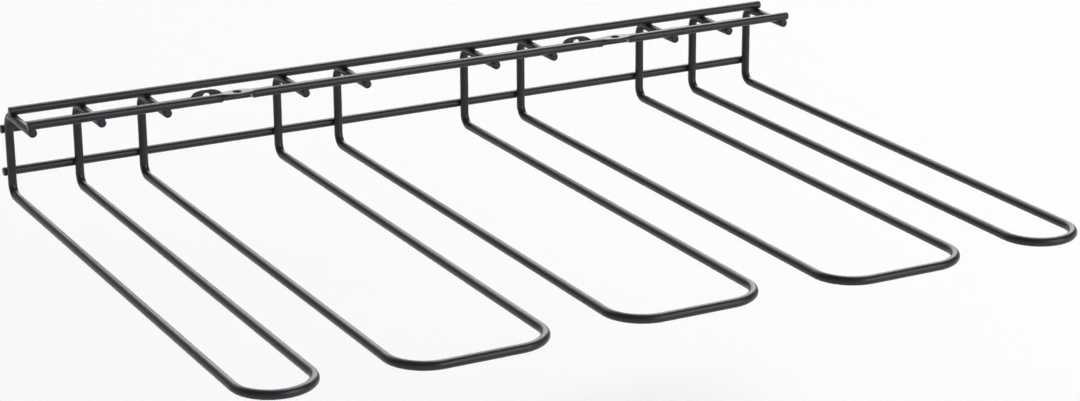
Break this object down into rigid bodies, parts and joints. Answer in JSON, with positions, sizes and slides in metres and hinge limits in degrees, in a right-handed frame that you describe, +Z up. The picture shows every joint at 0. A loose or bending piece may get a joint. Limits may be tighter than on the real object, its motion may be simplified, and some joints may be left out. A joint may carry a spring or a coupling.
{
  "type": "hanging wine glass rack",
  "caption": "Under-shelf rack for stemmed glasses, welded from black-coated round wire: U-shaped loops carry the feet, stems hang in the slots between them, and pressed eyes take the screws.",
  "frame": {"origin": "midway between the two screw eyes of the front top rail, in the plane of the shelf's underside, which is the plane of the top rails' tops", "axes": "+X along the rails, to the right as seen by someone who hangs glasses in; +Y back towards the wall; +Z up to the shelf"},
  "size_m": [0.447, 0.3249, 0.0514],
  "materials": {
    "powder_coated_wire": "satin black powder coat on welded steel wire"
  },
  "bodies": {
    "root": {"narrow_loop_left": "powder_coated_wire", "wide_loop_left": "powder_coated_wire", "wide_loop_middle": "powder_coated_wire", "wide_loop_right": "powder_coated_wire", "narrow_loop_right": "powder_coated_wire", "back_top_rail": "powder_coated_wire", "front_top_rail": "powder_coated_wire", "middle_rear_rail": "powder_coated_wire", "lower_rear_rail": "powder_coated_wire"}
  },
  "joints": []
}
